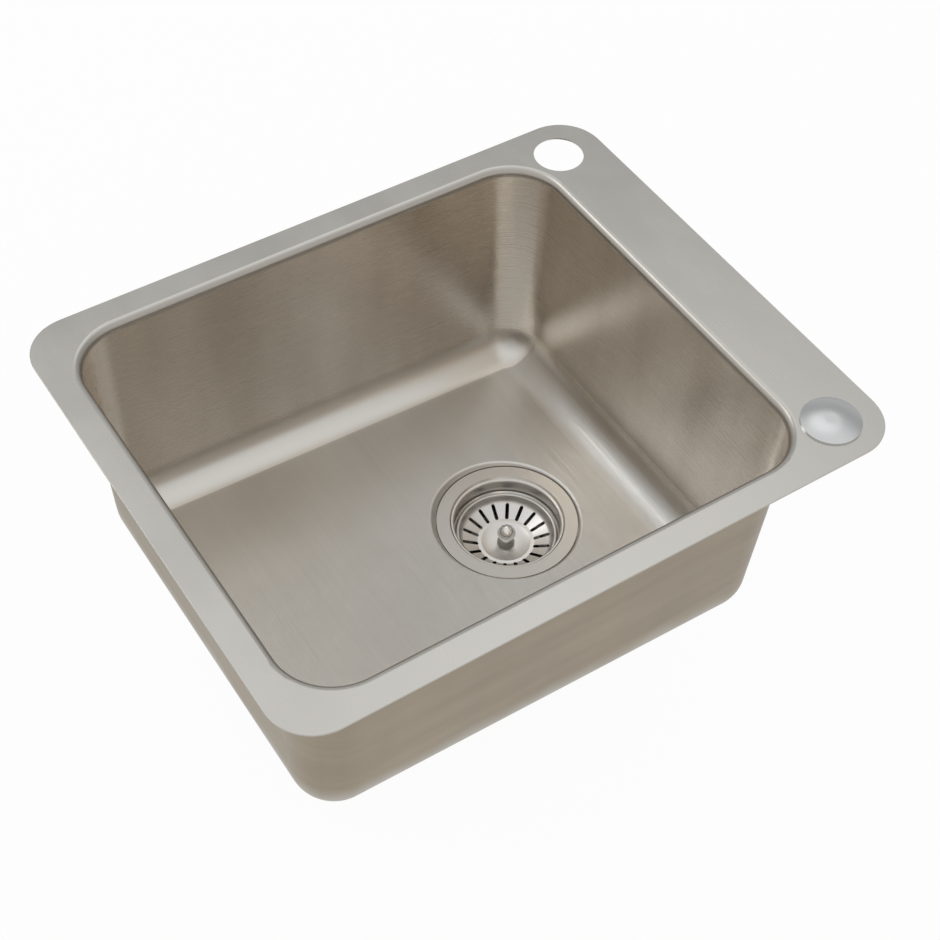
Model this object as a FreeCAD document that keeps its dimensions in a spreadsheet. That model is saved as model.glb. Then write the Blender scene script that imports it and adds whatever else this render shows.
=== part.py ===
# A drop-in stainless laundry sink: a rim with a tap ledge, a drawn bowl whose base falls to a basket waste,
# and a cover in the second tap hole. Millimetres, +Z up, the user stands at -Y.
# The origin is the middle of the rim, on the benchtop that the sink hangs in.
import FreeCAD, Part
import Sketcher
import math
import os
from types import SimpleNamespace

SIZES = {
    # Rim, ledge and the mouth of the bowl
    "rim_width": 404.0,
    "rim_depth": 489.0,
    "rim_corner": 35.0,
    "sheet": 1.0,
    "sheet_edge": 0.3,
    "rim_land": 25.0,
    "back_ledge": 61.0,
    "mouth_corner": 43.0,
    "mouth_bend": 4.5,
    "collar_depth": 6.6,
    "seal_thickness": 2.0,
    "seal_width": 6.0,
    "seal_inset": 3.0,
    # Bowl
    "bowl_depth": 188.0,
    "side_draft": 4.3,
    "end_draft": 2.75,
    "corner_draft": 4.2,
    "base_fall": 2.0,
    "base_radius": 28.5,
    "waste_y": 56.0,
    "outlet_radius": 45.0,
    "recess_radius": 57.6,
    "recess_draft": 35.0,
    "recess_round": 2.0,
    "pad_width": 200.0,
    "pad_length": 130.0,
    "pad_thickness": 2.0,
    "pad_corner": 15.0,
    "pad_gap_to_waste": 20.0,
    # Tap holes and the cover in one of them
    "tap_hole_radius": 20.0,
    "tap_hole_side": 35.3,
    "tap_hole_back": 38.5,
    "cover_radius": 22.0,
    "cover_sheet": 0.8,
    "cover_skirt": 1.4,
    "cover_rise": 2.4,
    "cover_flat": 4.0,
    "cover_gasket_overlap": 1.0,
    "cover_gasket_inside": 1.2,
    "cover_gasket_thickness": 0.5,
    "stud_radius": 3.0,
    "stud_length": 24.0,
    "clamp_length": 48.0,
    "clamp_width": 12.0,
    "clamp_thickness": 2.0,
    "clamp_play": 0.3,
    "wing_hub_radius": 5.0,
    "wing_hub_height": 6.0,
    "wing_span": 26.0,
    "wing_drop": 4.0,
    "wing_tip": 4.0,
    "wing_thickness": 2.5,
    # Waste flange and cup, depths below the flange's top
    "flange_radius": 57.0,
    "flange_drop": 3.7,
    "flange_sheet": 1.0,
    "flange_edge": 0.6,
    "lip_radius": 46.2,
    "lip_step": 1.4,
    "lip_round": 1.8,
    "cup_radius": 42.5,
    "seat_depth": 14.4,
    "seat_step": 2.9,
    "cup_depth": 52.4,
    "cup_round": 3.0,
    "drain_hole_radius": 5.5,
    "drain_circle_radius": 20.0,
    "drain_holes": 8,
    "gasket_thickness": 1.5,
    "gasket_edge": 0.8,
    "gasket_width": 9.0,
    # Lower waste
    "body_gasket_thickness": 3.0,
    "body_gasket_width": 10.0,
    "body_gasket_edge": 2.0,
    "body_flange_radius": 58.0,
    "body_flange_thickness": 4.0,
    "body_round": 3.0,
    "body_radius": 48.0,
    "body_wall": 3.3,
    "body_depth": 57.4,
    "body_cone": 14.0,
    "tail_radius": 29.8,
    "tail_bore": 26.0,
    "tail_length": 27.0,
    "boss_radius": 9.5,
    "boss_length": 26.0,
    "boss_cap": 4.0,
    "rib_thickness": 3.0,
    "rib_height": 10.0,
    "rib_root": 1.5,
    "rib_count": 4,
    "insert_radius": 6.5,
    "insert_length": 16.0,
    "screw_radius": 4.0,
    "screw_play": 0.3,
    "thread_play": 0.1,
    "screw_head_radius": 6.5,
    "screw_head_height": 3.5,
    "screw_length": 24.0,
    "screw_slot_width": 1.6,
    "screw_slot_depth": 1.8,
    # Basket
    "basket_sheet": 0.8,
    "basket_roll": 1.2,
    "basket_play": 2.0,
    "basket_rest": 0.3,
    "basket_wall_depth": 6.6,
    "basket_wall_slope": 1.3,
    "basket_depth": 11.6,
    "basket_gap": 0.7,
    "basket_ring": 3.0,
    "basket_corner": 4.5,
    "slot_count": 18,
    "slot_turn": 4.5,
    "slot_width": 3.0,
    "slot_inner": 24.0,
    "slot_outer": 34.2,
    "dish_radius": 20.0,
    "dish_flat": 8.0,
    "dish_depth": 1.8,
    # Knob, post and stopper
    "post_radius": 3.4,
    "post_play": 0.2,
    "bush_wall": 0.9,
    "bush_flange": 2.0,
    "bush_thickness": 1.2,
    "knob_height": 20.2,
    "knob_radius": 7.4,
    "knob_crown": 7.8,
    "knob_crown_curve": 12.0,
    "knob_tip": 0.5,
    "knob_band": 1.6,
    "knob_under": 2.6,
    "knob_round": 1.6,
    "knob_neck": 4.4,
    "knob_collar": 7.0,
    "knob_collar_height": 1.6,
    "knob_rest": 0.2,
    "stopper_travel": 8.0,
    "stopper_room": 1.2,
    "stopper_hub": 10.0,
    "stopper_thickness": 4.0,
    "stopper_radius": 31.0,
    "stopper_lip": 1.6,
    "stopper_skirt": 2.8,
    "stopper_seat": 0.3,
    "washer_radius": 9.0,
    "washer_thickness": 1.0,
    "nut_across": 7.0,
    "nut_height": 2.6,
    "post_thread": 2.0,
}

doc = FreeCAD.newDocument("laundry_sink")
sheet = doc.addObject("Spreadsheet::Sheet", "Sizes")
for row, (alias, number) in enumerate(SIZES.items(), start=1):
    sheet.set(f"A{row}", alias)
    sheet.set(f"B{row}", str(number))
    sheet.setAlias(f"B{row}", alias)
doc.recompute()


class Size:
    """A number together with the sheet expression that gives it."""

    def __init__(self, number, text):
        self.number = number
        self.text = text

    def __add__(self, other):
        return joined(self, "+", other, self.number + as_size(other).number)

    def __sub__(self, other):
        return joined(self, "-", other, self.number - as_size(other).number)

    def __mul__(self, other):
        return joined(self, "*", other, self.number * as_size(other).number)

    def __truediv__(self, other):
        return joined(self, "/", other, self.number / as_size(other).number)

    def __neg__(self):
        return ZERO - self

    def tangent(self):
        return Size(math.tan(math.radians(self.number)), f"tan({self.text})")


def as_size(value):
    return value if isinstance(value, Size) else Size(value, repr(value))


def joined(left, sign, right, number):
    return Size(number, f"({left.text} {sign} {as_size(right).text})")


ZERO = as_size(0.0)
TOLERANCE = 1e-4
# The share of a sheet's thickness by which a 45 degree bend moves its corner.
MITRE = math.tan(math.pi / 8)
s = SimpleNamespace(**{alias: Size(number, f"Sizes.{alias}") for alias, number in SIZES.items()})
subparts = []


def place(item, x=ZERO, y=ZERO, z=ZERO):
    """Puts an item in the sink's frame."""
    for axis, size in zip("xyz", (x, y, z)):
        item.setExpression(f"Placement.Base.{axis}", size.text)


def subpart(item, label):
    """Lists a finished sub-part; its label names its file."""
    item.Label = label
    subparts.append(item)


def new_body(label):
    return doc.addObject("PartDesign::Body", f"{label}_body")


def origin_feature(body, role):
    return next(item for item in body.Origin.OriginFeatures if item.Role == role)


def new_sketch(body, role="XY_Plane", height=ZERO):
    sketch = body.newObject("Sketcher::SketchObject", "sketch")
    sketch.AttachmentSupport = [(origin_feature(body, role), "")]
    sketch.MapMode = "FlatFace"
    sketch.setExpression("AttachmentOffset.Base.z", height.text)
    return sketch


def dimension(sketch, kind, items, size):
    """A driving dimension bound to the sheet."""
    index = sketch.addConstraint(Sketcher.Constraint(kind, *items, size.number))
    sketch.setExpression(f"Constraints[{index}]", size.text)


def hold(sketch, geometry, point, x, y):
    """Holds a point of the sketch at its place, measured from the sketch's origin."""
    for kind, axis, size in (("DistanceX", -2, x), ("DistanceY", -1, y)):
        if size is ZERO:
            sketch.addConstraint(Sketcher.Constraint("PointOnObject", geometry, point, axis))
        else:
            dimension(sketch, kind, (-1, 1, geometry, point), size)


def draw_circle(sketch, x, y, radius):
    centre = FreeCAD.Vector(x.number, y.number, 0)
    geometry = sketch.addGeometry(Part.Circle(centre, FreeCAD.Vector(0, 0, 1), radius.number))
    hold(sketch, geometry, 3, x, y)
    dimension(sketch, "Radius", (geometry,), radius)


def draw_outline(sketch, corners, arcs={}):
    """A closed outline, counter-clockwise. An edge listed in arcs bulges outwards, or inwards if negative."""
    points = [FreeCAD.Vector(x.number, y.number, 0) for x, y in corners]
    ends = []
    for index, start in enumerate(points):
        end = points[(index + 1) % len(points)]
        if index not in arcs:
            ends.append((sketch.addGeometry(Part.LineSegment(start, end)), 1, 2))
            continue
        bulge = arcs[index]
        inwards = bulge.number < 0
        low, high = (end, start) if inwards else (start, end)
        chord = high - low
        rise = math.sqrt(bulge.number ** 2 - (chord.Length / 2) ** 2)
        centre = (low + high) / 2 + FreeCAD.Vector(-chord.y, chord.x, 0).normalize() * rise
        angles = [math.atan2(point.y - centre.y, point.x - centre.x) for point in (low, high)]
        circle = Part.Circle(centre, FreeCAD.Vector(0, 0, 1), abs(bulge.number))
        geometry = sketch.addGeometry(Part.ArcOfCircle(circle, *angles))
        ends.append((geometry, 2, 1) if inwards else (geometry, 1, 2))
        dimension(sketch, "Radius", (geometry,), -bulge if inwards else bulge)
    for index, (geometry, start, _) in enumerate(ends):
        before, _, end = ends[index - 1]
        sketch.addConstraint(Sketcher.Constraint("Coincident", before, end, geometry, start))
        hold(sketch, geometry, start, *corners[index])


def draw_rounded_rectangle(sketch, x0, x1, y0, y1, radius):
    r = radius.number
    left, right, front, back = x0.number, x1.number, y0.number, y1.number
    vector = FreeCAD.Vector
    lines = [
        (vector(left + r, front, 0), vector(right - r, front, 0)),
        (vector(right, front + r, 0), vector(right, back - r, 0)),
        (vector(right - r, back, 0), vector(left + r, back, 0)),
        (vector(left, back - r, 0), vector(left, front + r, 0)),
    ]
    centres = [(right - r, front + r), (right - r, back - r), (left + r, back - r), (left + r, front + r)]
    sides, corners = [], []
    for quarter, ((start, end), (x, y)) in enumerate(zip(lines, centres)):
        sides.append(sketch.addGeometry(Part.LineSegment(start, end)))
        circle = Part.Circle(vector(x, y, 0), vector(0, 0, 1), r)
        turn = math.pi / 2 * (quarter - 1)
        corners.append(sketch.addGeometry(Part.ArcOfCircle(circle, turn, turn + math.pi / 2)))
    for quarter in range(4):
        after = sides[(quarter + 1) % 4]
        sketch.addConstraint(Sketcher.Constraint("Tangent", sides[quarter], 2, corners[quarter], 1))
        sketch.addConstraint(Sketcher.Constraint("Tangent", corners[quarter], 2, after, 1))
        level = "Horizontal" if quarter % 2 == 0 else "Vertical"
        sketch.addConstraint(Sketcher.Constraint(level, sides[quarter]))
        if quarter:
            sketch.addConstraint(Sketcher.Constraint("Equal", corners[0], corners[quarter]))
    dimension(sketch, "Radius", (corners[0],), radius)
    for kind, side, size in (("DistanceY", 0, y0), ("DistanceX", 1, x1), ("DistanceY", 2, y1), ("DistanceX", 3, x0)):
        dimension(sketch, kind, (-1, 1, sides[side], 1), size)


def draw_slot(sketch, x0, x1, half_width):
    """A slot along X with round ends, from one end's centre to the other's."""
    vector = FreeCAD.Vector
    near, far, r = x0.number, x1.number, half_width.number
    bottom = sketch.addGeometry(Part.LineSegment(vector(near, -r, 0), vector(far, -r, 0)))
    top = sketch.addGeometry(Part.LineSegment(vector(far, r, 0), vector(near, r, 0)))
    ends = []
    for x, turn in ((x1, -math.pi / 2), (x0, math.pi / 2)):
        circle = Part.Circle(vector(x.number, 0, 0), vector(0, 0, 1), r)
        ends.append(sketch.addGeometry(Part.ArcOfCircle(circle, turn, turn + math.pi)))
        hold(sketch, ends[-1], 3, x, ZERO)
    outer, inner = ends
    for before, after in ((bottom, outer), (outer, top), (top, inner), (inner, bottom)):
        sketch.addConstraint(Sketcher.Constraint("Tangent", before, 2, after, 1))
    sketch.addConstraint(Sketcher.Constraint("Equal", outer, inner))
    dimension(sketch, "Radius", (outer,), half_width)


def pad(body, sketch, length, down=False, symmetric=False):
    feature = body.newObject("PartDesign::Pad", "pad")
    feature.Profile = sketch
    feature.Reversed = down
    feature.SideType = "Symmetric" if symmetric else "One side"
    feature.setExpression("Length", length.text)
    return feature


def cut_through(body, sketch):
    """Cuts the sketch right through the body, both ways."""
    feature = body.newObject("PartDesign::Pocket", "pocket")
    feature.Profile = sketch
    feature.Type = "ThroughAll"
    feature.SideType = "Symmetric"
    return feature


def revolve(body, corners, arcs={}, y=ZERO):
    """Turns an outline of (radius, height) corners about the upright axis at y."""
    sketch = new_sketch(body, "XZ_Plane", -y)
    draw_outline(sketch, corners, arcs)
    feature = body.newObject("PartDesign::Revolution", "revolution")
    feature.Profile = sketch
    feature.ReferenceAxis = (sketch, ["V_Axis"])
    feature.Angle = 360
    return feature


def repeat_around(body, feature, count):
    pattern = body.newObject("PartDesign::PolarPattern", "pattern")
    pattern.Originals = [feature]
    pattern.Axis = (origin_feature(body, "Z_Axis"), [""])
    pattern.Angle = 360
    pattern.setExpression("Occurrences", count.text)
    body.Tip = pattern


def round_edges(body, radius, chosen):
    """Rounds the edges that the test picks."""
    doc.recompute()
    base = body.Tip
    names = [f"Edge{number}" for number, edge in enumerate(base.Shape.Edges, start=1) if chosen(edge)]
    if not names:
        raise RuntimeError(f"{body.Name}: no edge to round")
    feature = body.newObject("PartDesign::Fillet", "fillet")
    feature.Base = (base, names)
    feature.setExpression("Radius", radius.text)


def ring(radius, height):
    """A test for the round edges about Z of that radius and height."""
    def chosen(edge):
        if edge.Degenerated or not isinstance(edge.Curve, Part.Circle):
            return False
        off = (edge.Curve.Radius - radius.number, edge.Curve.Center.z - height.number)
        return max(map(abs, off)) < TOLERANCE
    return chosen


def turned(label, corners, arcs={}, y=ZERO, z=ZERO, x=ZERO):
    """A body turned about its own upright axis and put in its place."""
    body = new_body(label)
    revolve(body, corners, arcs)
    place(body, x, y, z)
    subpart(body, label)
    return body


# Levels and places that more than one piece shares.
rim_top = s.seal_thickness + s.sheet
mouth_x = s.rim_width / 2 - s.rim_land
mouth_front = s.rim_land - s.rim_depth / 2
mouth_back = s.rim_depth / 2 - s.back_ledge
base_at_waste = rim_top - s.bowl_depth
flange_top = base_at_waste - s.flange_drop
tap_x = s.rim_width / 2 - s.tap_hole_side
tap_y = s.rim_depth / 2 - s.tap_hole_back


def mouth(sketch, grow):
    """The outline of the bowl's mouth, grown on every side."""
    draw_rounded_rectangle(
        sketch, -mouth_x - grow, mouth_x + grow, mouth_front - grow, mouth_back + grow, s.mouth_corner + grow
    )


def make_deck():
    """The rim sheet: its inner edge is bent down into a short collar that the bowl is welded to."""
    body = new_body("deck")
    top = s.collar_depth
    collar = new_sketch(body)
    mouth(collar, s.sheet)
    pad(body, collar, top)
    plate = new_sketch(body, height=top - s.sheet)
    half_x, half_y = s.rim_width / 2, s.rim_depth / 2
    draw_rounded_rectangle(plate, -half_x, half_x, -half_y, half_y, s.rim_corner)
    pad(body, plate, s.sheet)
    opening = new_sketch(body)
    mouth(opening, ZERO)
    cut_through(body, opening)
    holes = new_sketch(body)
    for side in (-tap_x, tap_x):
        draw_circle(holes, side, tap_y, s.tap_hole_radius)
    cut_through(body, holes)

    def level_edges(height, inside):
        """Edges at a height that run round the mouth, or else round the rim."""
        def chosen(edge):
            box = edge.BoundBox
            level = max(abs(box.ZMin - height.number), abs(box.ZMax - height.number)) < TOLERANCE
            hole = isinstance(edge.Curve, Part.Circle) and edge.isClosed()
            near = max(abs(box.XMin), abs(box.XMax)) < half_x.number - s.rim_corner.number / 2
            near = near and box.YMax < half_y.number - s.rim_corner.number / 2
            near = near and box.YMin > mouth_front.number - s.rim_land.number / 2
            return level and not hole and near == inside
        return chosen

    round_edges(body, s.mouth_bend, level_edges(top - s.sheet, True))
    round_edges(body, s.mouth_bend + s.sheet, level_edges(top, True))
    round_edges(body, s.sheet_edge, level_edges(top, False))
    place(body, z=rim_top - s.collar_depth)
    subpart(body, "deck")


def make_basin(label, skin):
    """The solid that fills the bowl: skin 0 is its inside, the sheet's thickness its outside."""
    body = new_body(label)
    slope = s.base_fall.tangent()
    base = base_at_waste - rim_top + s.collar_depth - skin
    reach = s.rim_depth / 2
    lowest = base - slope * reach - skin

    top = new_sketch(body)
    mouth(top, skin)
    bottom = new_sketch(body, height=lowest)
    in_x = skin + lowest * s.side_draft.tangent()
    in_y = skin + lowest * s.end_draft.tangent()
    corner = s.mouth_corner + skin + lowest * s.corner_draft.tangent()
    draw_rounded_rectangle(bottom, -mouth_x - in_x, mouth_x + in_x, mouth_front - in_y, mouth_back + in_y, corner)
    walls = body.newObject("PartDesign::AdditiveLoft", "walls")
    walls.Profile = top
    walls.Sections = [bottom]
    walls.Ruled = True

    below = new_sketch(body, "YZ_Plane")
    front_level = base + slope * (reach + s.waste_y)
    back_level = base - slope * (reach - s.waste_y)
    draw_outline(below, [(-reach, lowest * 2), (reach, lowest * 2), (reach, back_level), (-reach, front_level)])
    cut_through(body, below)

    def on_base(edge):
        middle = edge.valueAt((edge.FirstParameter + edge.LastParameter) / 2)
        level = base.number - slope.number * (middle.y - s.waste_y.number)
        return abs(middle.z - level) < TOLERANCE

    round_edges(body, s.base_radius + skin, on_base)
    floor = base - s.flange_drop - s.flange_sheet - s.gasket_thickness
    ledge = base - s.flange_drop
    head = floor + s.base_radius / 2
    foot = s.recess_radius + skin
    spread = s.recess_draft.tangent() * (head - ledge)
    seat = [(ZERO, floor), (foot, floor), (foot, ledge), (foot + spread, head), (ZERO, head)]
    revolve(body, seat, y=s.waste_y)
    round_edges(body, s.recess_round, on_base)
    if skin is ZERO:
        drop = floor - s.sheet * 2
        revolve(body, [(ZERO, drop), (s.outlet_radius, drop), (s.outlet_radius, head), (ZERO, head)], y=s.waste_y)
    place(body, z=rim_top - s.collar_depth)
    return body


def make_bowl():
    bowl = doc.addObject("Part::Cut", "bowl_cut")
    bowl.Base = make_basin("bowl_outside", s.sheet)
    bowl.Tool = make_basin("bowl_inside", ZERO)
    subpart(bowl, "bowl")


def make_rim_seal():
    body = new_body("rim_seal")
    sketch = new_sketch(body)
    for inset in (s.seal_inset, s.seal_inset + s.seal_width):
        x, y = s.rim_width / 2 - inset, s.rim_depth / 2 - inset
        draw_rounded_rectangle(sketch, -x, x, -y, y, s.rim_corner - inset)
    pad(body, sketch, s.seal_thickness)
    subpart(body, "rim_seal")


def make_sound_pad():
    """A pad stuck under the sloping base, in front of the waste."""
    body = new_body("sound_pad")
    sketch = new_sketch(body)
    x, y = s.pad_width / 2, s.pad_length / 2
    draw_rounded_rectangle(sketch, -x, x, -y, y, s.pad_corner)
    pad(body, sketch, s.pad_thickness, down=True)
    ahead = s.recess_radius + s.pad_gap_to_waste + s.pad_length / 2
    body.Placement = FreeCAD.Placement(FreeCAD.Vector(), FreeCAD.Rotation(FreeCAD.Vector(-1, 0, 0), s.base_fall.number))
    body.setExpression("Placement.Rotation.Angle", s.base_fall.text)
    place(body, y=s.waste_y - ahead, z=base_at_waste - s.sheet + s.base_fall.tangent() * ahead)
    subpart(body, "sound_pad")


def shallow_arc(reach, rise):
    """The radius of the arc that leaves a flat centre level and climbs by the rise over the reach."""
    return (reach * reach + rise * rise) / (rise * 2)


def make_cover():
    """The domed cover of the second tap hole, with what holds it from below."""
    edge = s.cover_radius - s.cover_sheet
    crown = s.cover_skirt + s.cover_rise
    under = crown - s.cover_sheet
    dome = [
        (edge, ZERO), (s.cover_radius, ZERO), (s.cover_radius, s.cover_skirt), (s.cover_flat, crown), (ZERO, crown),
        (ZERO, under), (s.cover_flat, under), (edge, s.cover_skirt - s.cover_sheet),
    ]
    outside, inside = (shallow_arc(reach - s.cover_flat, s.cover_rise) for reach in (s.cover_radius, edge))
    curves = {2: outside, 6: -inside}
    here = {"x": tap_x, "y": tap_y}
    turned("taphole_cover", dome, curves, z=rim_top, **here)

    inside, outside = s.tap_hole_radius - s.cover_gasket_inside, s.tap_hole_radius + s.cover_gasket_overlap
    turned("cover_gasket", washer(inside, outside, s.cover_gasket_thickness), z=rim_top, **here)

    stud_top = rim_top + under
    turned("cover_stud", rod(s.stud_radius, s.stud_length), z=stud_top - s.stud_length, **here)

    clamp = new_body("cover_clamp")
    strip = new_sketch(clamp)
    x, y = s.clamp_length / 2, s.clamp_width / 2
    draw_rounded_rectangle(strip, -x, x, -y, y, s.clamp_width / 4)
    draw_circle(strip, ZERO, ZERO, s.stud_radius + s.clamp_play)
    pad(clamp, strip, s.clamp_thickness)
    clamp_bottom = rim_top - s.sheet - s.clamp_thickness
    place(clamp, tap_x, tap_y, clamp_bottom)
    subpart(clamp, "cover_clamp")

    nut = new_body("cover_wing_nut")
    top = s.wing_drop + s.wing_hub_height
    wings = new_sketch(nut, "XZ_Plane")
    root, tip = s.wing_hub_radius / 2, s.wing_span / 2
    draw_outline(wings, [
        (-root, s.wing_drop), (root, s.wing_drop), (tip - s.wing_tip, ZERO), (tip, ZERO), (tip, s.wing_tip),
        (root, top - s.wing_hub_height / 4), (-root, top - s.wing_hub_height / 4), (-tip, s.wing_tip),
        (-tip, ZERO), (s.wing_tip - tip, ZERO),
    ])
    pad(nut, wings, s.wing_thickness, symmetric=True)
    revolve(nut, [(ZERO, s.wing_drop), (s.wing_hub_radius, s.wing_drop), (s.wing_hub_radius, top), (ZERO, top)])
    bore = new_sketch(nut)
    draw_circle(bore, ZERO, ZERO, s.stud_radius + s.thread_play)
    cut_through(nut, bore)
    place(nut, tap_x, tap_y, clamp_bottom - top)
    subpart(nut, "cover_wing_nut")


def washer(inside, outside, thickness):
    return [(inside, ZERO), (outside, ZERO), (outside, thickness), (inside, thickness)]


def rod(radius, length):
    return [(ZERO, ZERO), (radius, ZERO), (radius, length), (ZERO, length)]


# The waste's depths are measured down from the flange's top.
cup_floor = s.cup_depth + s.flange_sheet
seat_radius = s.cup_radius - s.seat_step
screw_hole = s.screw_radius + s.screw_play
seat_floor = s.flange_sheet + s.gasket_thickness
body_top = seat_floor + s.sheet + s.body_gasket_thickness
boss_bottom = cup_floor + s.boss_length
roll_radius = s.cup_radius - s.basket_play - s.basket_roll
roll_depth = s.seat_depth + s.cup_radius - roll_radius - (s.basket_roll + s.basket_rest) * math.sqrt(2)
ring_under = roll_depth + s.basket_depth
dish_under = ring_under + s.dish_depth
dish_top = dish_under - s.basket_sheet
bush_radius = s.post_radius + s.post_play + s.bush_wall
stopper_top = dish_under + s.bush_thickness + s.stopper_travel + s.stopper_room
stopper_under = stopper_top + s.stopper_thickness
washer_under = stopper_under + s.washer_thickness
nut_under = washer_under + s.nut_height


def heights(bottom, points):
    """Corners given as (radius, depth), as heights above the piece's own bottom."""
    return [(radius, ZERO if depth is bottom else bottom - depth) for radius, depth in points]


def at_depth(depth):
    """The place on the waste's axis of a piece whose bottom lies at that depth."""
    return {"y": s.waste_y, "z": flange_top - depth}


def make_waste_flange():
    """The pressed flange and cup, with the ledge that the basket hangs on and a holed floor."""
    t = s.flange_sheet
    lip_under = s.lip_step + t
    lip_foot = s.lip_radius - s.lip_step
    seat_bottom = s.seat_depth + s.seat_step
    body = turned("waste_flange", heights(cup_floor, [
        (screw_hole, cup_floor), (seat_radius + t, cup_floor), (seat_radius + t, seat_bottom + t * MITRE),
        (s.cup_radius + t, s.seat_depth + t * MITRE), (s.cup_radius + t, lip_under),
        (lip_foot + t * MITRE, lip_under), (s.lip_radius + t * MITRE, t), (s.flange_radius, t),
        (s.flange_radius, ZERO), (s.lip_radius, ZERO), (lip_foot, s.lip_step), (s.cup_radius, s.lip_step),
        (s.cup_radius, s.seat_depth),
        (seat_radius, seat_bottom), (seat_radius, s.cup_depth), (screw_hole, s.cup_depth),
    ]), **at_depth(cup_floor))
    round_edges(body, s.lip_round, ring(s.cup_radius, cup_floor - s.lip_step))
    round_edges(body, s.lip_round - t, ring(s.cup_radius + t, cup_floor - lip_under))
    round_edges(body, s.cup_round, ring(seat_radius, t))
    round_edges(body, s.cup_round + t, ring(seat_radius + t, ZERO))
    round_edges(body, s.flange_edge, ring(s.flange_radius, cup_floor))
    hole = new_sketch(body)
    draw_circle(hole, s.drain_circle_radius, ZERO, s.drain_hole_radius)
    repeat_around(body, cut_through(body, hole), s.drain_holes)


def make_gaskets():
    outside = s.flange_radius - s.gasket_edge
    turned("flange_gasket", washer(outside - s.gasket_width, outside, s.gasket_thickness), **at_depth(seat_floor))
    outside = s.body_flange_radius - s.body_gasket_edge
    inside = outside - s.body_gasket_width
    turned("body_gasket", washer(inside, outside, s.body_gasket_thickness), **at_depth(body_top))


def make_waste_body():
    """The moulded lower half: a funnel with a threaded tail, and a boss on ribs for the screw."""
    cone_bottom = s.body_depth + s.body_cone
    tail_bottom = cone_bottom + s.tail_length
    inside = s.body_radius - s.body_wall
    flange_under = body_top + s.body_flange_thickness
    body = turned("waste_body", heights(tail_bottom, [
        (s.tail_bore, tail_bottom), (s.tail_radius, tail_bottom), (s.tail_radius, cone_bottom),
        (s.body_radius, s.body_depth), (s.body_radius, flange_under), (s.body_flange_radius, flange_under),
        (s.body_flange_radius, body_top), (inside, body_top), (inside, s.body_depth - s.body_wall),
        (s.tail_bore, cone_bottom - s.body_wall),
    ]), **at_depth(tail_bottom))
    round_edges(body, s.body_round, ring(s.body_radius, tail_bottom - flange_under))
    rib = new_sketch(body, height=tail_bottom - boss_bottom)
    half = s.rib_thickness / 2
    inner, outer = s.insert_radius + s.rib_root, s.tail_bore + s.rib_root
    draw_outline(rib, [(inner, -half), (outer, -half), (outer, half), (inner, half)])
    repeat_around(body, pad(body, rib, s.rib_height), s.rib_count)
    cap_under = cup_floor + s.boss_cap
    revolve(body, [(radius, tail_bottom - depth) for radius, depth in (
        (s.insert_radius, boss_bottom), (s.boss_radius, boss_bottom), (s.boss_radius, cup_floor),
        (screw_hole, cup_floor), (screw_hole, cap_under), (s.insert_radius, cap_under),
    )])


def make_fixing():
    """The screw that draws the two halves together, and the insert that it turns in."""
    insert_bottom = cup_floor + s.boss_cap + s.insert_length
    bore = s.screw_radius + s.thread_play
    turned("insert_nut", washer(bore, s.insert_radius, s.insert_length), **at_depth(insert_bottom))

    screw_bottom = s.cup_depth + s.screw_length
    head_top = s.cup_depth - s.screw_head_height
    screw = turned("fixing_screw", heights(screw_bottom, [
        (ZERO, screw_bottom), (s.screw_radius, screw_bottom), (s.screw_radius, s.cup_depth),
        (s.screw_head_radius, s.cup_depth), (s.screw_head_radius, head_top), (ZERO, head_top),
    ]), **at_depth(screw_bottom))
    slot = new_sketch(screw, "XZ_Plane")
    half, top = s.screw_slot_width / 2, screw_bottom - head_top
    low = top - s.screw_slot_depth
    draw_outline(slot, [(-half, low), (half, low), (half, top), (-half, top)])
    cut_through(screw, slot)


def make_basket():
    """The lift-out basket: a rolled edge, a short wall, a slotted cone and a dished centre."""
    t = s.basket_sheet
    wall = seat_radius - s.basket_gap
    foot = wall - s.basket_wall_slope
    foot_depth = roll_depth + s.basket_wall_depth
    ring_radius = s.dish_radius + s.basket_ring
    dish = shallow_arc(s.dish_radius - s.dish_flat, s.dish_depth)
    body = turned("strainer_basket", heights(dish_under, [
        (bush_radius, dish_under), (s.dish_flat, dish_under), (s.dish_radius, ring_under), (ring_radius, ring_under),
        (foot, foot_depth), (wall, roll_depth), (wall - t, roll_depth), (foot - t, foot_depth - t),
        (ring_radius, ring_under - t), (s.dish_radius, ring_under - t), (s.dish_flat, dish_top),
        (bush_radius, dish_top),
    ]), {1: dish, 9: -dish}, **at_depth(dish_under))
    body.setExpression("Placement.Rotation.Angle", s.slot_turn.text)
    round_edges(body, s.basket_corner, ring(foot - t, dish_under - foot_depth + t))
    round_edges(body, s.basket_corner + t, ring(foot, dish_under - foot_depth))
    roll = new_sketch(body, "XZ_Plane")
    draw_circle(roll, roll_radius, dish_under - roll_depth, s.basket_roll)
    edge = body.newObject("PartDesign::Revolution", "roll")
    edge.Profile = roll
    edge.ReferenceAxis = (roll, ["V_Axis"])
    edge.Angle = 360
    slot = new_sketch(body)
    draw_slot(slot, s.slot_inner, s.slot_outer, s.slot_width / 2)
    repeat_around(body, cut_through(body, slot), s.slot_count)

    bush_bottom = dish_under + s.bush_thickness
    bore = s.post_radius + s.post_play
    flange = bush_radius + s.bush_flange
    turned("post_bush", heights(bush_bottom, [
        (bore, bush_bottom), (flange, bush_bottom), (flange, dish_under), (bush_radius, dish_under),
        (bush_radius, dish_top), (bore, dish_top),
    ]), **at_depth(bush_bottom))


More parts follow.
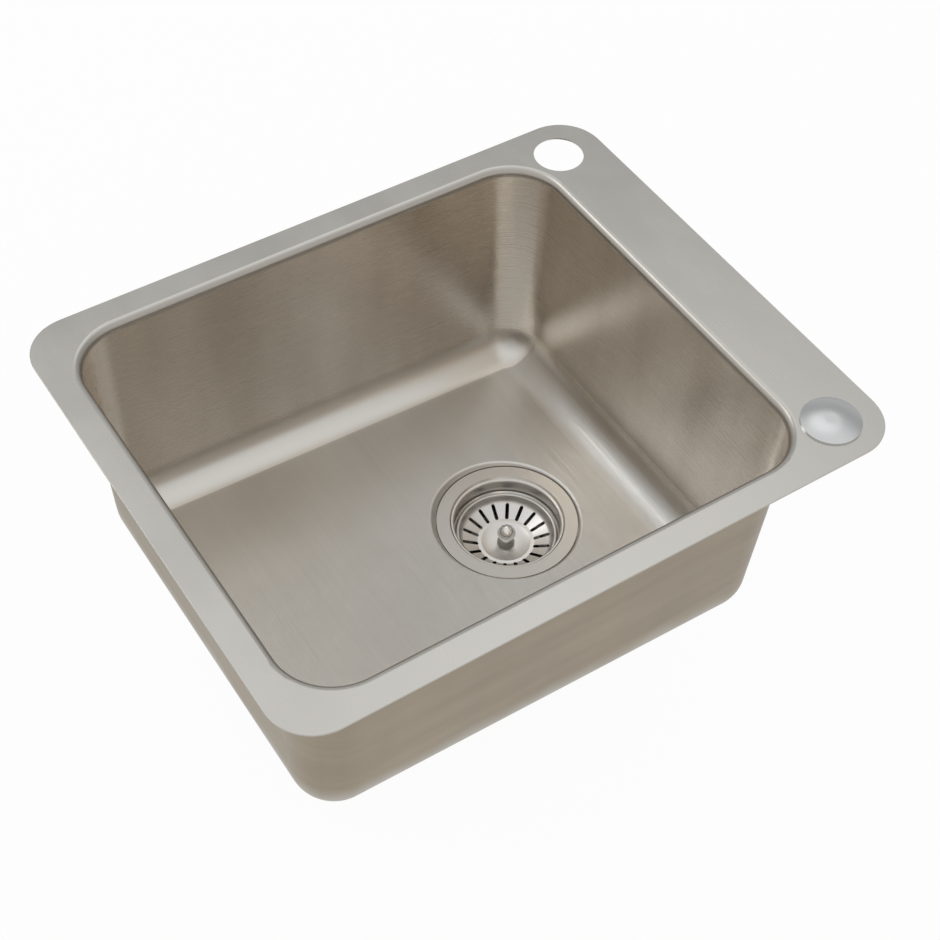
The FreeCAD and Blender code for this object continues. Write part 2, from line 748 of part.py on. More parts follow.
def make_stopper():
    """The knob and its post, with the rubber bell that the post carries below the basket."""
    foot = dish_top - s.knob_rest
    top = foot - s.knob_height
    band_top = top + s.knob_crown
    band_under = band_top + s.knob_band
    neck_top = band_under + s.knob_under
    collar_top = foot - s.knob_collar_height
    post = turned("knob_post", heights(nut_under, [
        (ZERO, nut_under), (s.post_thread, nut_under), (s.post_thread, stopper_top), (s.post_radius, stopper_top),
        (s.post_radius, foot), (s.knob_collar, foot), (s.knob_collar, collar_top), (s.knob_neck, collar_top),
        (s.knob_neck, neck_top), (s.knob_radius, band_under), (s.knob_radius, band_top),
        (s.knob_tip, top), (ZERO, top),
    ]), {10: s.knob_crown_curve}, **at_depth(nut_under))
    round_edges(post, s.knob_round, ring(s.knob_radius, nut_under - band_under))
    round_edges(post, s.knob_round, ring(s.knob_neck, nut_under - neck_top))

    lip = s.cup_depth - s.stopper_seat
    turned("stopper", heights(lip, [
        (s.post_thread, stopper_under), (s.stopper_hub, stopper_under), (s.stopper_radius - s.stopper_lip, lip),
        (s.stopper_radius, lip), (s.stopper_radius, lip - s.stopper_skirt), (s.stopper_hub, stopper_top),
        (s.post_thread, stopper_top),
    ]), **at_depth(lip))
    hole = s.post_thread + s.thread_play
    turned("stopper_washer", washer(hole, s.washer_radius, s.washer_thickness), **at_depth(washer_under))

    nut = new_body("post_nut")
    sketch = new_sketch(nut)
    corner = s.nut_across / math.sqrt(3)
    across = s.nut_across / 2
    draw_outline(sketch, [
        (corner, ZERO), (corner / 2, across), (-corner / 2, across),
        (-corner, ZERO), (-corner / 2, -across), (corner / 2, -across),
    ])
    draw_circle(sketch, ZERO, ZERO, hole)
    pad(nut, sketch, s.nut_height)
    place(nut, **at_depth(nut_under))
    subpart(nut, "post_nut")


make_deck()
make_bowl()
make_rim_seal()
make_sound_pad()
make_cover()
make_waste_flange()
make_gaskets()
make_waste_body()
make_fixing()
make_basket()
make_stopper()
doc.recompute()

for item in doc.Objects:
    if {"Invalid", "Error"} & set(item.State):
        raise RuntimeError(f"{item.Name} failed to build: {item.State}")
for item in subparts:
    if item.Shape.isNull() or not item.Shape.isValid():
        raise RuntimeError(f"{item.Label} has no valid shape")

os.makedirs("parts", exist_ok=True)
for item in subparts:
    item.Shape.exportStep(f"parts/{item.Label}.step")
    box = item.Shape.BoundBox
    print(f"{item.Label:16s} solids {len(item.Shape.Solids)}  volume {item.Shape.Volume:10.1f}"
          f"  z {box.ZMin:8.2f} to {box.ZMax:8.2f}")
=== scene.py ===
import bpy
import math
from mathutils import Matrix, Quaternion, Vector


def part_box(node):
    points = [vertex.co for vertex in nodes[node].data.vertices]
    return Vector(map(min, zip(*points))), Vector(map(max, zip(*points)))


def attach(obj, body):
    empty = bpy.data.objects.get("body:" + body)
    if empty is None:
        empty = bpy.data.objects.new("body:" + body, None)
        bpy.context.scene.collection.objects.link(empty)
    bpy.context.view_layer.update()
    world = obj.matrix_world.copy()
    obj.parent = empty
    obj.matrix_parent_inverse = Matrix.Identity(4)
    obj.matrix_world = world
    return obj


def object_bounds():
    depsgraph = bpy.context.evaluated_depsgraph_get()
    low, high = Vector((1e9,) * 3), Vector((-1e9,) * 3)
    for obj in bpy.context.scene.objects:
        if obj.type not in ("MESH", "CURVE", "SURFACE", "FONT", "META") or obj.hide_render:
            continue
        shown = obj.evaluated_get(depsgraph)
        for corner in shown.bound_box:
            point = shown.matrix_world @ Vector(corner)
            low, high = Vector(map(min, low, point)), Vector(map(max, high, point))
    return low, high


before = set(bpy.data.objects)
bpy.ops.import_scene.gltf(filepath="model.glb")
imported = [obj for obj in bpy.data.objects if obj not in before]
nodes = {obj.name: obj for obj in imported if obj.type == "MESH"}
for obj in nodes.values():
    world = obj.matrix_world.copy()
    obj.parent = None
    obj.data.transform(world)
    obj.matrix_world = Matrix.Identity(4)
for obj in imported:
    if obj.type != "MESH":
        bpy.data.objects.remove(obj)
cad_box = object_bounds()


# Bowl: one deep drawing in 1 mm stainless sheet, with tapered walls and a base that falls to the waste.
# The walls are brushed round, the base from side to side and on up the end radii; side radii stay bright.
# Outside it has the warm, smeared finish of the drawing press, its colour darkened all over as painted
# shade and painted lighter along its foot as a painted highlight.
class Wire:
    """A node's output; arithmetic on it adds Math nodes to its tree."""

    def __init__(self, tree, socket):
        self.tree = tree
        self.socket = socket

    def __add__(self, other):
        return self.tree.math("ADD", self, other)

    def __sub__(self, other):
        return self.tree.math("SUBTRACT", self, other)

    def __rsub__(self, other):
        return self.tree.math("SUBTRACT", other, self)

    def __mul__(self, other):
        return self.tree.math("MULTIPLY", self, other)

    def __truediv__(self, other):
        return self.tree.math("DIVIDE", self, other)

    def __rtruediv__(self, other):
        return self.tree.math("DIVIDE", other, self)

    def __pow__(self, other):
        return self.tree.math("POWER", self, other)

    def __gt__(self, other):
        return self.tree.math("GREATER_THAN", self, other)

    def __abs__(self):
        return self.tree.math("ABSOLUTE", self)

    __radd__ = __add__
    __rmul__ = __mul__


class Tree:
    """A node tree that is filled node by node."""

    def __init__(self, tree):
        self.tree = tree

    def node(self, kind, settings={}, inputs={}, output=0):
        """Adds a node: its settings first, then the values or links of its sockets."""
        node = self.tree.nodes.new(kind)
        for name, value in settings.items():
            if name == "stops":
                self.set_stops(node.color_ramp.elements, value)
            else:
                setattr(node, name, value)
        for name, value in inputs.items():
            self.join(node.inputs[name], value)
        return Wire(self, node.outputs[output])

    def set_stops(self, elements, stops):
        while len(elements) < len(stops):
            elements.new(1.0)
        for element, (position, level) in zip(elements, stops):
            element.position = position
            element.color = (level, level, level, 1.0)

    def join(self, socket, value):
        if isinstance(value, Wire):
            self.tree.links.new(value.socket, socket)
        else:
            socket.default_value = value

    def math(self, operation, *values):
        return self.node("ShaderNodeMath", {"operation": operation}, dict(enumerate(values)))

    def vector_math(self, operation, one, other, output="Vector"):
        return self.node("ShaderNodeVectorMath", {"operation": operation}, {0: one, 1: other}, output)

    def dot(self, one, other):
        return self.vector_math("DOT_PRODUCT", one, other, "Value")

    def place(self, output="Object"):
        return self.node("ShaderNodeTexCoord", output=output)

    def part(self, vector, axis):
        return self.node("ShaderNodeSeparateXYZ", {}, {0: vector}, output="XYZ".index(axis))

    def about(self, axis):
        """The place as x, y and z, with x and y measured from an upright axis."""
        spot = self.place()
        return self.part(spot, "X") - axis.x, self.part(spot, "Y") - axis.y, self.part(spot, "Z")

    def noise(self, lumps, detail=3.0, place=None):
        """Noise with so many lumps to the metre along x, y and z."""
        spread = self.vector_math("MULTIPLY", place or self.place(), lumps)
        return self.node("ShaderNodeTexNoise", {}, {"Vector": spread, "Scale": 1.0, "Detail": detail})

    def step(self, value, low, high):
        """0 below low and 1 above high, eased between."""
        eased = {"interpolation_type": "SMOOTHSTEP"}
        return self.node("ShaderNodeMapRange", eased, {0: value, 1: low, 2: high, 3: 0.0, 4: 1.0})

    def between(self, factor, low, high):
        """A number that goes from low to high with the factor."""
        return low + factor * (high - low)

    def blend(self, factor, low, high):
        """A colour that goes from low to high with the factor."""
        low, high = ((*colour, 1.0) if isinstance(colour, tuple) else colour for colour in (low, high))
        return self.node("ShaderNodeMix", {"data_type": "RGBA"}, {0: factor, 6: low, 7: high}, output=2)


class Finish(Tree):
    """A material: what is the same all over it, and the nodes for what varies."""

    def __init__(self, name, **everywhere):
        self.material = bpy.data.materials.new(name)
        self.material.use_nodes = True
        super().__init__(self.material.node_tree)
        self.shader = self.tree.nodes["Principled BSDF"]
        self.vary(**everywhere)

    def vary(self, **inputs):
        for name, value in inputs.items():
            value = (*value, 1.0) if isinstance(value, tuple) else value
            self.join(self.shader.inputs[name.replace("_", " ")], value)

    def bump(self, height, depth):
        self.vary(Normal=self.node("ShaderNodeBump", {}, {"Height": height, "Distance": depth}))

    def dress(self, *pieces):
        for piece in pieces:
            piece.data.materials.clear()
            piece.data.materials.append(self.material)


bowl_low, bowl_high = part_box("bowl")
waste_low, waste_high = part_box("waste_flange")
waste_axis = (waste_low + waste_high) / 2
base_fall = math.radians(2.0)
bowl_steel = Finish("brushed_bowl_steel", Metallic=1.0)

# The outer skin faces away from a point in the middle of the bowl.
heart_lift = Vector((0, 0, 0.04))
bowl_heart = (bowl_low + bowl_high) / 2 + heart_lift
facing = bowl_steel.place("Normal")
from_heart = bowl_steel.vector_math("SUBTRACT", bowl_steel.place(), bowl_heart)
outside = bowl_steel.dot(facing, from_heart) > 0.0

# The zones of the finish follow the way that the sheet faces.
tilt_from, tilt_to = 0.09, 0.14
brush_from, brush_to = 0.10, 0.70
upright_from, upright_to = 0.12, 0.40
corner_from, corner_to = 0.14, 0.34
across, along, up = (bowl_steel.part(facing, axis) for axis in "XYZ")
sideways = bowl_steel.step(abs(across), tilt_from, tilt_to)
on_base = (1.0 - sideways) * bowl_steel.step(up, brush_from, brush_to)
on_bend = sideways * bowl_steel.step(up, upright_from, upright_to)
corner_light_mask = bowl_steel.step(abs(across * along), corner_from, corner_to)

wall_lines, base_lines = (5, 5, 3000), (12, 3000, 60)
base_streaks, clouds, cloud_from, cloud_to = (5, 350, 40), (14, 14, 3), 0.3, 0.7
grain = bowl_steel.between(on_base, bowl_steel.noise(wall_lines), bowl_steel.noise(base_lines))
streak = bowl_steel.noise(base_streaks)
cloud = bowl_steel.step(bowl_steel.noise(clouds), cloud_from, cloud_to)

wall_dull, wall_bright = (0.645, 0.578, 0.502), (0.795, 0.732, 0.657)
# The base is painted warmer and darker towards the front and more neutral towards the back: a painted
# reflection tint.
front_dull, front_bright = (0.455, 0.43, 0.386), (0.525, 0.50, 0.456)
back_dull, back_bright = (0.475, 0.468, 0.444), (0.55, 0.543, 0.52)
back_from, back_to = -0.20, 0.04
# Towards the bowl's corners the walls are painted lighter, a painted highlight for the streak reflected
# there, and the side radii are painted darker, painted shade that dims the corner's highlight.
wall_corner_highlight = (0.97, 0.91, 0.83)
bend_side_colour, bend_corner_shade = (0.72, 0.70, 0.655), (0.52, 0.505, 0.47)
grain_share, streak_share = 0.08, 0.6
wall_colour = bowl_steel.blend(bowl_steel.between(grain_share, cloud, grain), wall_dull, wall_bright)
wall_colour = bowl_steel.blend(corner_light_mask, wall_colour, wall_corner_highlight)
x, y, z = bowl_steel.about(waste_axis)
back_reflection_tint = bowl_steel.step(y, back_from, back_to)
base_dull = bowl_steel.blend(back_reflection_tint, front_dull, back_dull)
base_bright = bowl_steel.blend(back_reflection_tint, front_bright, back_bright)
base_colour = bowl_steel.blend(bowl_steel.between(streak_share, cloud, streak), base_dull, base_bright)
bend_colour = bowl_steel.blend(corner_light_mask, bend_side_colour, bend_corner_shade)
inside_colour = bowl_steel.blend(on_base, bowl_steel.blend(on_bend, wall_colour, bend_colour), base_colour)

# The slope of the seat pressed for the waste carries a painted highlight in its colour, and is duller to
# reflect in.
recess_from, recess_to = 0.062, 0.066
slope_from, slope_to = 0.93, 0.99
recess_highlight = (0.74, 0.725, 0.69)
near_waste = 1.0 - bowl_steel.step((x * x + y * y) ** 0.5, recess_from, recess_to)
on_recess_slope = near_waste * (1.0 - bowl_steel.step(up, slope_from, slope_to))
inside_colour = bowl_steel.blend(on_recess_slope, inside_colour, recess_highlight)

mottle_lumps, mottle_detail, mottle_from, mottle_to = (18, 18, 9), 6.0, 0.25, 0.75
smear_lumps, smear_detail, smear_from, smear_to = (5, 5, 45), 5.0, 0.3, 0.7
smear_share = 0.4
# The outer skin's colours are darkened as painted shade; the mottle and smear are its own tone.
shaded_press_dull, shaded_press_bright = (0.275, 0.23, 0.17), (0.37, 0.318, 0.243)
foot_light_colour = (0.45, 0.42, 0.37)
foot_light_from, foot_light_to, foot_light_wander = 0.023, 0.043, 0.006
mottle = bowl_steel.step(bowl_steel.noise(mottle_lumps, mottle_detail), mottle_from, mottle_to)
smear = bowl_steel.step(bowl_steel.noise(smear_lumps, smear_detail), smear_from, smear_to)
painted_outside_colour = bowl_steel.blend(bowl_steel.between(smear_share, mottle, smear), shaded_press_dull, shaded_press_bright)
# A lighter band along the foot of the outer wall is a painted highlight.
above_base = z + math.tan(base_fall) * y - waste_high.z
foot_light_band = 1.0 - bowl_steel.step(above_base + foot_light_wander * (mottle - 0.5), foot_light_from, foot_light_to)
painted_outside_colour = bowl_steel.blend(foot_light_band, painted_outside_colour, foot_light_colour)

wall_roughness, grain_roughness = 0.27, 0.05
base_rougher, bend_rougher, slope_rougher = 0.03, 0.04, 0.14
press_roughness, mottle_roughness = 0.44, 0.08
inside_roughness = wall_roughness + grain_roughness * (grain - 0.5)
inside_roughness += base_rougher * on_base + bend_rougher * on_bend + slope_rougher * on_recess_slope
outside_roughness = press_roughness + mottle_roughness * (mottle - 0.5)
bowl_steel.vary(
    Base_Color=bowl_steel.blend(outside, inside_colour, painted_outside_colour),
    Roughness=bowl_steel.between(outside, inside_roughness, outside_roughness),
)
wall_scratch, base_scratch = 0.00001, 0.00015
scratch = (1.0 - outside) * (1.0 - on_bend) * bowl_steel.between(on_base, wall_scratch, base_scratch)
bowl_steel.bump((grain - 0.5) * scratch, 1.0)
bowl_steel.dress(nodes["bowl"])


# Rim: the same sheet, flat, with the tap ledge at the back and its inner edge bent down to meet the bowl.
# It is brushed from side to side after welding, so finely that only a faint cloud is left.
# The bend and the underside stay duller, and their colour is painted darker as painted shade to dim the
# bend's highlight.
rim_lines, rim_grain_share = (8, 3000, 60), 0.1
rim_clouds, rim_cloud_detail, rim_cloud_from, rim_cloud_to = (14, 22, 20), 4.0, 0.25, 0.75
rim_dull, rim_bright = (0.575, 0.56, 0.522), (0.615, 0.60, 0.565)
rim_roughness, rim_cloud_roughness, rim_grain_roughness, rim_scratch = 0.27, 0.05, 0.02, 0.000003
lip_from, lip_to, lip_rougher, lip_shade_colour = 0.80, 0.985, 0.10, (0.47, 0.445, 0.405)
rim_steel = Finish("brushed_rim_steel", Metallic=1.0)
rim_grain = rim_steel.noise(rim_lines)
rim_cloud = rim_steel.step(rim_steel.noise(rim_clouds, rim_cloud_detail), rim_cloud_from, rim_cloud_to)
on_lip = 1.0 - rim_steel.step(rim_steel.part(rim_steel.place("Normal"), "Z"), lip_from, lip_to)
rim_colour = rim_steel.blend(rim_steel.between(rim_grain_share, rim_cloud, rim_grain), rim_dull, rim_bright)
rim_sheen = rim_cloud_roughness * (rim_cloud - 0.5) + rim_grain_roughness * (rim_grain - 0.5)
rim_steel.vary(
    Base_Color=rim_steel.blend(on_lip, rim_colour, lip_shade_colour),
    Roughness=rim_roughness + lip_rougher * on_lip + rim_sheen,
)
rim_steel.bump(rim_grain, rim_scratch)
rim_steel.dress(nodes["deck"])


# Weld: the bowl is seam-welded to the rim's collar from outside, under the rim, and dressed flush inside.
# The run of small overlapping ripples is left as it came off the torch, with a straw tint.
class Pattern(Tree):
    """A Geometry Nodes tree with its sizes as named inputs."""

    def __init__(self, name, **sizes):
        super().__init__(bpy.data.node_groups.new(name, "GeometryNodeTree"))
        self.name = name
        self.given = sizes
        socket = self.tree.interface.new_socket
        socket("Geometry", in_out="OUTPUT", socket_type="NodeSocketGeometry")
        self.sockets = {size: socket(size, in_out="INPUT", socket_type="NodeSocketFloat") for size in sizes}
        self.sizes = {size: self.node("NodeGroupInput", output=size) for size in sizes}

    def vector(self, x=0.0, y=0.0, z=0.0):
        return self.node("ShaderNodeCombineXYZ", {}, {0: x, 1: y, 2: z})

    def make(self, geometry, finish):
        """Ends the tree, runs it and hands back its result as a plain mesh object."""
        solid = self.node("GeometryNodeRealizeInstances", {}, {"Geometry": geometry})
        dressed = self.node("GeometryNodeSetMaterial", {}, {"Geometry": solid, "Material": finish.material})
        output = self.tree.nodes.new("NodeGroupOutput")
        self.join(output.inputs["Geometry"], dressed)
        piece = bpy.data.objects.new(self.name, bpy.data.meshes.new(self.name))
        bpy.context.scene.collection.objects.link(piece)
        modifier = piece.modifiers.new(self.name, "NODES")
        modifier.node_group = self.tree
        for size, value in self.given.items():
            modifier[self.sockets[size].identifier] = value
        evaluated = piece.evaluated_get(bpy.context.evaluated_depsgraph_get())
        piece.data = bpy.data.meshes.new_from_object(evaluated)
        piece.modifiers.remove(modifier)
        return piece


def follow_marks(finish, marks, colours, roughness, depth):
    """Lets a finish's colour, roughness and relief all follow the same marks."""
    finish.vary(Base_Color=finish.blend(marks, *colours), Roughness=finish.between(marks, *roughness))
    finish.bump(marks, depth)


weld_steel = Finish("weld_bead_steel", Metallic=1.0)
heat = weld_steel.noise((60, 60, 200))
straw_tint = (0.42, 0.37, 0.29), (0.60, 0.57, 0.52)
follow_marks(weld_steel, heat, colours=straw_tint, roughness=(0.3, 0.5), depth=0.00005)

weld = Pattern(
    "weld_bead",
    width=bowl_high.x - bowl_low.x,
    length=bowl_high.y - bowl_low.y,
    corner=0.044,
    middle=(bowl_high.y + bowl_low.y) / 2,
    level=bowl_high.z,
    pitch=0.0022,
    ripple=0.0014,
)
run = weld.node("GeometryNodeCurvePrimitiveQuadrilateral", {}, {
    "Width": weld.sizes["width"],
    "Height": weld.sizes["length"],
})
run = weld.node("GeometryNodeFilletCurve", {"mode": "POLY"}, {
    "Curve": run,
    "Radius": weld.sizes["corner"],
    "Count": 24,
})
run = weld.node("GeometryNodeTransform", {}, {
    "Geometry": run,
    "Translation": weld.vector(y=weld.sizes["middle"], z=weld.sizes["level"]),
})
run = weld.node("GeometryNodeCurveToPoints", {"mode": "LENGTH"}, {
    "Curve": run,
    "Length": weld.sizes["pitch"],
})
ripple = weld.node("GeometryNodeMeshIcoSphere", {}, {"Radius": weld.sizes["ripple"], "Subdivisions": 2})
ripples = weld.node("GeometryNodeInstanceOnPoints", {}, {"Points": run, "Instance": ripple})
weld_bead = weld.make(ripples, weld_steel)
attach(weld_bead, "sink")


# Rim seal: a strip of closed-cell foam stuck under the rim's edge.
# It beds the sink on the benchtop.
foam_cells_to_metre = 900.0
foam_greys = (0.16, 0.16, 0.165), (0.27, 0.27, 0.275)
foam = Finish("grey_foam")
cells = foam.node("ShaderNodeTexVoronoi", {}, {"Vector": foam.place(), "Scale": foam_cells_to_metre})
follow_marks(foam, cells, colours=foam_greys, roughness=(0.85, 0.95), depth=0.0004)
foam.dress(nodes["rim_seal"])


# Sound pad: a sheet of bitumen rubber stuck under the base to deaden the drumming of water.
# It is rolled with a grid of small pips.
pad_blacks = (0.022, 0.022, 0.024), (0.05, 0.049, 0.047)
pad_rubber = Finish("bitumen_pad")
pad_grit = pad_rubber.noise((700, 700, 700), detail=4.0)
follow_marks(pad_rubber, pad_grit, colours=pad_blacks, roughness=(0.62, 0.82), depth=0.0003)
pad_rubber.dress(nodes["sound_pad"])

pad_low, pad_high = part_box("sound_pad")
pad_margin, pad_thickness = 0.012, 0.002
pips = Pattern(
    "pad_pips",
    width=pad_high.x - pad_low.x - 2 * pad_margin,
    length=pad_high.y - pad_low.y - 2 * pad_margin,
    across=16,
    along=11,
    radius=0.0032,
    taper=0.55,
    height=0.0012,
    middle=(pad_low.y + pad_high.y) / 2,
    level=(pad_low.z + pad_high.z - pad_thickness) / 2,
    fall=-base_fall,
)
grid = pips.node("GeometryNodeMeshGrid", {}, {
    "Size X": pips.sizes["width"],
    "Size Y": pips.sizes["length"],
    "Vertices X": pips.sizes["across"],
    "Vertices Y": pips.sizes["along"],
})
pip = pips.node("GeometryNodeMeshCone", {"fill_type": "NGON"}, {
    "Vertices": 12,
    "Radius Top": pips.sizes["radius"],
    "Radius Bottom": pips.sizes["radius"] * pips.sizes["taper"],
    "Depth": pips.sizes["height"],
})
pip = pips.node("GeometryNodeTransform", {}, {
    "Geometry": pip,
    "Translation": pips.vector(z=-1.0 * pips.sizes["height"]),
})
rows = pips.node("GeometryNodeInstanceOnPoints", {}, {"Points": grid, "Instance": pip})
rows = pips.node("GeometryNodeTransform", {}, {
    "Geometry": rows,
    "Rotation": pips.vector(x=pips.sizes["fall"]),
    "Translation": pips.vector(y=pips.sizes["middle"], z=pips.sizes["level"]),
})
pad_pips = pips.make(rows, pad_rubber)
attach(pad_pips, "sink")


# Tap hole cover: a shallow dome pressed in thin sheet and polished, on a rubber ring.
# A stud under it passes through the hole, and a wing nut pulls a clamp strip up against the rim.
cover_greys = (0.63, 0.635, 0.64), (0.68, 0.685, 0.69)
cover_steel = Finish("polished_cover_steel", Metallic=1.0)
haze = cover_steel.noise((40, 40, 40), detail=4.0)
follow_marks(cover_steel, haze, colours=cover_greys, roughness=(0.17, 0.23), depth=0.00003)
cover_steel.dress(nodes["taphole_cover"])

rubber_blacks = (0.018, 0.018, 0.019), (0.035, 0.034, 0.033)
rubber = Finish("black_rubber")
bloom = rubber.noise((300, 300, 300), detail=4.0)
follow_marks(rubber, bloom, colours=rubber_blacks, roughness=(0.5, 0.7), depth=0.0001)
rubber.dress(nodes["cover_gasket"])
rim_steel.dress(nodes["cover_clamp"])


def thread_ridges(finish, axis, pitch):
    """Rises and falls once to each turn of a screw thread about an upright axis."""
    x, y, z = finish.about(axis)
    return finish.math("PINGPONG", z / pitch + finish.math("ARCTAN2", y, x) / math.tau, 0.5)


def dress_screw(name, node, pitch, depth):
    """Gives a piece a turned steel finish with a screw thread."""
    # The colour is darker in the thread's grooves than on its crests: painted shade in the grooves.
    groove_shade_colour, crest_colour = (0.45, 0.44, 0.42), (0.65, 0.64, 0.62)
    wear_lightens, crest_lightens = 0.7, 0.6
    smooth, rough = 0.25, 0.40
    low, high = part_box(node)
    finish = Finish(name, Metallic=1.0)
    ridge = thread_ridges(finish, (low + high) / 2, pitch)
    wear = finish.noise((400, 400, 400))
    finish.vary(
        Base_Color=finish.blend(wear_lightens * wear + crest_lightens * ridge, groove_shade_colour, crest_colour),
        Roughness=finish.between(wear, smooth, rough),
    )
    finish.bump(ridge, depth)
    finish.dress(nodes[node])


dress_screw("threaded_stud_steel", "cover_stud", pitch=0.001, depth=0.0005)

wing_greys = (0.50, 0.49, 0.47), (0.62, 0.61, 0.59)
wing_steel = Finish("cast_wing_steel", Metallic=1.0)
skin = wing_steel.noise((500, 500, 500), detail=4.0)
follow_marks(wing_steel, skin, colours=wing_greys, roughness=(0.35, 0.55), depth=0.0002)
wing_steel.dress(nodes["cover_wing_nut"])


# Waste flange and cup: deep-drawn in stainless and turned, rougher on the flat ring; the ring's colour is
# painted darker as painted shade that dims the lamp's highlight, and the cup's is painted lighter as
# painted light in its shade.
# It is bedded on the recess with a rubber ring, and a second one seals it from below.
def turned_marks(finish, lines, sweep):
    """Fine marks round the waste's axis, and the distance from it."""
    x, y, z = finish.about(waste_axis)
    radius = (x * x + y * y) ** 0.5
    around = finish.node("ShaderNodeCombineXYZ", {}, {0: x / radius, 1: y / radius, 2: radius + z})
    return finish.noise((sweep, sweep, lines), place=around), radius


ring_from, ring_to = 0.0445, 0.0465
ring_dull, ring_bright = (0.45, 0.43, 0.395), (0.52, 0.50, 0.462)
cup_dull, cup_bright = (0.56, 0.54, 0.505), (0.66, 0.64, 0.61)
cup_roughness, ring_rougher, turned_roughness, turned_depth = 0.26, 0.06, 0.10, 0.000015
flange_steel = Finish("turned_waste_steel", Metallic=1.0)
marks, from_axis = turned_marks(flange_steel, lines=2200, sweep=1.5)
on_ring = flange_steel.step(from_axis, ring_from, ring_to)
painted_cup_light = flange_steel.blend(marks, cup_dull, cup_bright)
painted_ring_shade = flange_steel.blend(marks, ring_dull, ring_bright)
flange_steel.vary(
    Base_Color=flange_steel.blend(on_ring, painted_cup_light, painted_ring_shade),
    Roughness=cup_roughness + ring_rougher * on_ring + turned_roughness * (marks - 0.5),
)
flange_steel.bump(marks, turned_depth)
flange_steel.dress(nodes["waste_flange"])
rubber.dress(nodes["flange_gasket"], nodes["body_gasket"])


# Lower waste: a moulded polypropylene funnel with a threaded tail.
# One long screw, which turns in a brass insert, draws it up against the cup.
tail_from, tail_to, tail_radius = 0.024, 0.025, 0.0288
tail_pitch, tail_ridge, moulding_depth = 0.00231, 0.0012, 0.0002
plastic_dark, plastic_pale = (0.022, 0.022, 0.024), (0.04, 0.04, 0.043)
plastic_smooth, plastic_rough = 0.36, 0.52
body_low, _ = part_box("waste_body")
plastic = Finish("black_polypropylene")
x, y, z = plastic.about(waste_axis)
on_tail = 1.0 - plastic.step(z, body_low.z + tail_from, body_low.z + tail_to)
on_tail *= (x * x + y * y) ** 0.5 > tail_radius
moulding = plastic.noise((350, 350, 350), detail=5.0)
plastic.vary(
    Base_Color=plastic.blend(moulding, plastic_dark, plastic_pale),
    Roughness=plastic.between(moulding, plastic_smooth, plastic_rough),
)
tail_thread = thread_ridges(plastic, waste_axis, tail_pitch) * on_tail
plastic.bump(tail_ridge * tail_thread + moulding_depth * moulding, 1.0)
plastic.dress(nodes["waste_body"])

brass_yellows = (0.62, 0.43, 0.17), (0.78, 0.58, 0.28)
brass = Finish("turned_brass", Metallic=1.0)
brass_marks, _ = turned_marks(brass, lines=3000, sweep=2.0)
follow_marks(brass, brass_marks, colours=brass_yellows, roughness=(0.24, 0.34), depth=0.00004)
brass.dress(nodes["insert_nut"])
dress_screw("fixing_screw_steel", "fixing_screw", pitch=0.00125, depth=0.0006)


# Basket: pressed in thin stainless, slotted and polished, with its edge rolled over for the fingers.
# A nylon bush in the middle guides the post.
basket_greys = (0.68, 0.665, 0.64), (0.76, 0.75, 0.73)
basket_steel = Finish("polished_basket_steel", Metallic=1.0)
rings, _ = turned_marks(basket_steel, lines=1200, sweep=3.0)
follow_marks(basket_steel, rings, colours=basket_greys, roughness=(0.30, 0.38), depth=0.00006)
basket_steel.dress(nodes["strainer_basket"])

nylon_whites = (0.72, 0.71, 0.67), (0.80, 0.79, 0.75)
nylon = Finish("white_nylon", Subsurface_Weight=0.1)
nylon_grain = nylon.noise((500, 500, 500))
follow_marks(nylon, nylon_grain, colours=nylon_whites, roughness=(0.35, 0.50), depth=0.0001)
nylon.dress(nodes["post_bush"])


# Knob and stopper: a knob turned from bar with its post, which carries a rubber bell under the basket.
# Pushed down, the bell shuts the holes in the cup's floor; a washer and a nut hold it on.
# The foot of the post, where it meets the basket, is painted dark: painted shade under the knob's head.
foot_from, foot_to = 0.0026, 0.0030
knob_dull, knob_bright, foot_shade_colour = (0.76, 0.75, 0.73), (0.84, 0.83, 0.81), (0.27, 0.255, 0.235)
knob_smooth, knob_rough, foot_rougher, knob_turned_depth = 0.15, 0.25, 0.2, 0.00003
basket_low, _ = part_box("strainer_basket")
knob_steel = Finish("turned_knob_steel", Metallic=1.0)
knob_marks, _ = turned_marks(knob_steel, lines=2600, sweep=2.0)
above_basket = knob_steel.part(knob_steel.place(), "Z") - basket_low.z
on_foot = 1.0 - knob_steel.step(above_basket, foot_from, foot_to)
knob_colour = knob_steel.blend(knob_marks, knob_dull, knob_bright)
knob_steel.vary(
    Base_Color=knob_steel.blend(on_foot, knob_colour, foot_shade_colour),
    Roughness=knob_steel.between(knob_marks, knob_smooth, knob_rough) + foot_rougher * on_foot,
)
knob_steel.bump(knob_marks, knob_turned_depth)
knob_steel.dress(nodes["knob_post"], nodes["stopper_washer"], nodes["post_nut"])
rubber.dress(nodes["stopper"])


# Studio: a white floor under the waste and pale walls all round, bright near the camera and greyer beyond.
# One bright window stands in the far side, and a soft box lights the base from the left.
scene = bpy.context.scene
scene.view_settings.view_transform = "Standard"
floor_gap, floor_reach, floor_glow = 0.001, 6.0, 0.95
floor_level = cad_box[0].z - floor_gap
floor_signs = (-1, -1), (1, -1), (1, 1), (-1, 1)
floor_corners = [(x * floor_reach, y * floor_reach, floor_level) for x, y in floor_signs]
floor_mesh = bpy.data.meshes.new("floor")
floor_mesh.from_pydata(floor_corners, [], [(0, 1, 2, 3)])
floor = bpy.data.objects.new("floor", floor_mesh)
scene.collection.objects.link(floor)
paper = Finish("white_paper", Base_Color=(0.9, 0.9, 0.9), Roughness=0.9)
seen = paper.node("ShaderNodeLightPath", output="Is Camera Ray")
seen += paper.node("ShaderNodeLightPath", output="Is Glossy Ray")
seen += paper.node("ShaderNodeLightPath", output="Is Transmission Ray")
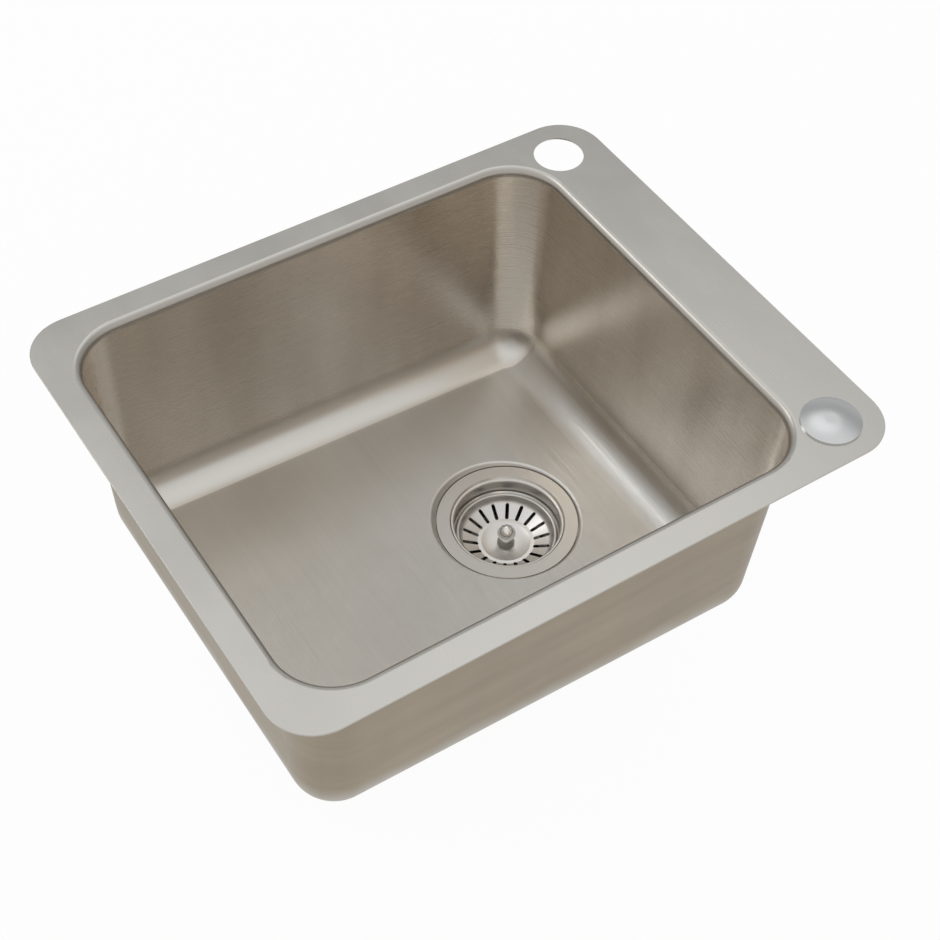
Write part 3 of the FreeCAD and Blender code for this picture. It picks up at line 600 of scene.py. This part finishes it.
white = paper.node("ShaderNodeEmission", {}, {"Color": (1, 1, 1, 1), "Strength": 1.0})
lit = Wire(paper, paper.shader.outputs[0])
surface = paper.node("ShaderNodeMixShader", {}, {0: floor_glow * seen, 1: lit, 2: white})
paper.join(paper.tree.nodes["Material Output"].inputs["Surface"], surface)
paper.dress(floor)

world = bpy.data.worlds.new("studio")
world.use_nodes = True
scene.world = world
studio = Tree(world.node_tree)
direction = studio.place("Generated")
height = studio.part(direction, "Z")
far_levels = [
    (0.0, 0.35), (0.20, 0.50), (0.40, 0.60), (0.60, 0.44),
    (0.68, 0.52), (0.75, 0.66), (0.80, 0.77), (0.88, 0.88),
]
near_levels = [(0.0, 0.95), (0.28, 0.78), (0.55, 0.78), (0.92, 0.86)]
far_light = studio.node("ShaderNodeValToRGB", {"stops": far_levels}, {0: height})
near_light = studio.node("ShaderNodeValToRGB", {"stops": near_levels}, {0: height})
near_way, near_from, near_to = (0.6, -0.8, 0.0), -0.55, 0.05
window_way, window_from, window_to, window_level = (-0.42, 0.40, 0.815), 0.972, 0.997, (1.15, 1.15, 1.15)
near = studio.step(studio.dot(direction, near_way), near_from, near_to)
in_window = studio.step(studio.dot(direction, window_way), window_from, window_to)
light = studio.blend(in_window, studio.blend(near, far_light, near_light), window_level)
studio.join(world.node_tree.nodes["Background"].inputs["Color"], light)

lamp_way, lamp_distance, lamp_size, lamp_power = Vector((-0.60, -0.25, 0.76)), 2.0, 0.6, 3.0
lamp_data = bpy.data.lights.new("soft_box", "AREA")
lamp_data.shape = "SQUARE"
lamp_data.size = lamp_size
lamp_data.energy = lamp_power
lamp = bpy.data.objects.new("soft_box", lamp_data)
scene.collection.objects.link(lamp)
lamp.location = lamp_distance * lamp_way.normalized()
lamp.rotation_mode = "QUATERNION"
lamp.rotation_quaternion = lamp_way.to_track_quat("Z", "Y")

camera_data = bpy.data.cameras.new("camera")
camera_data.sensor_width = 36.0
camera_data.lens = 68.265
camera = bpy.data.objects.new("camera", camera_data)
scene.collection.objects.link(camera)
scene.camera = camera
camera.location = (0.70729, -0.48059, 0.92676)
aim = Vector((0.07183, -0.03344, 0.003))
roll = Quaternion((0, 0, 1), math.radians(2.758))
camera.rotation_mode = "QUATERNION"
camera.rotation_quaternion = (aim - camera.location).to_track_quat("-Z", "Y") @ roll
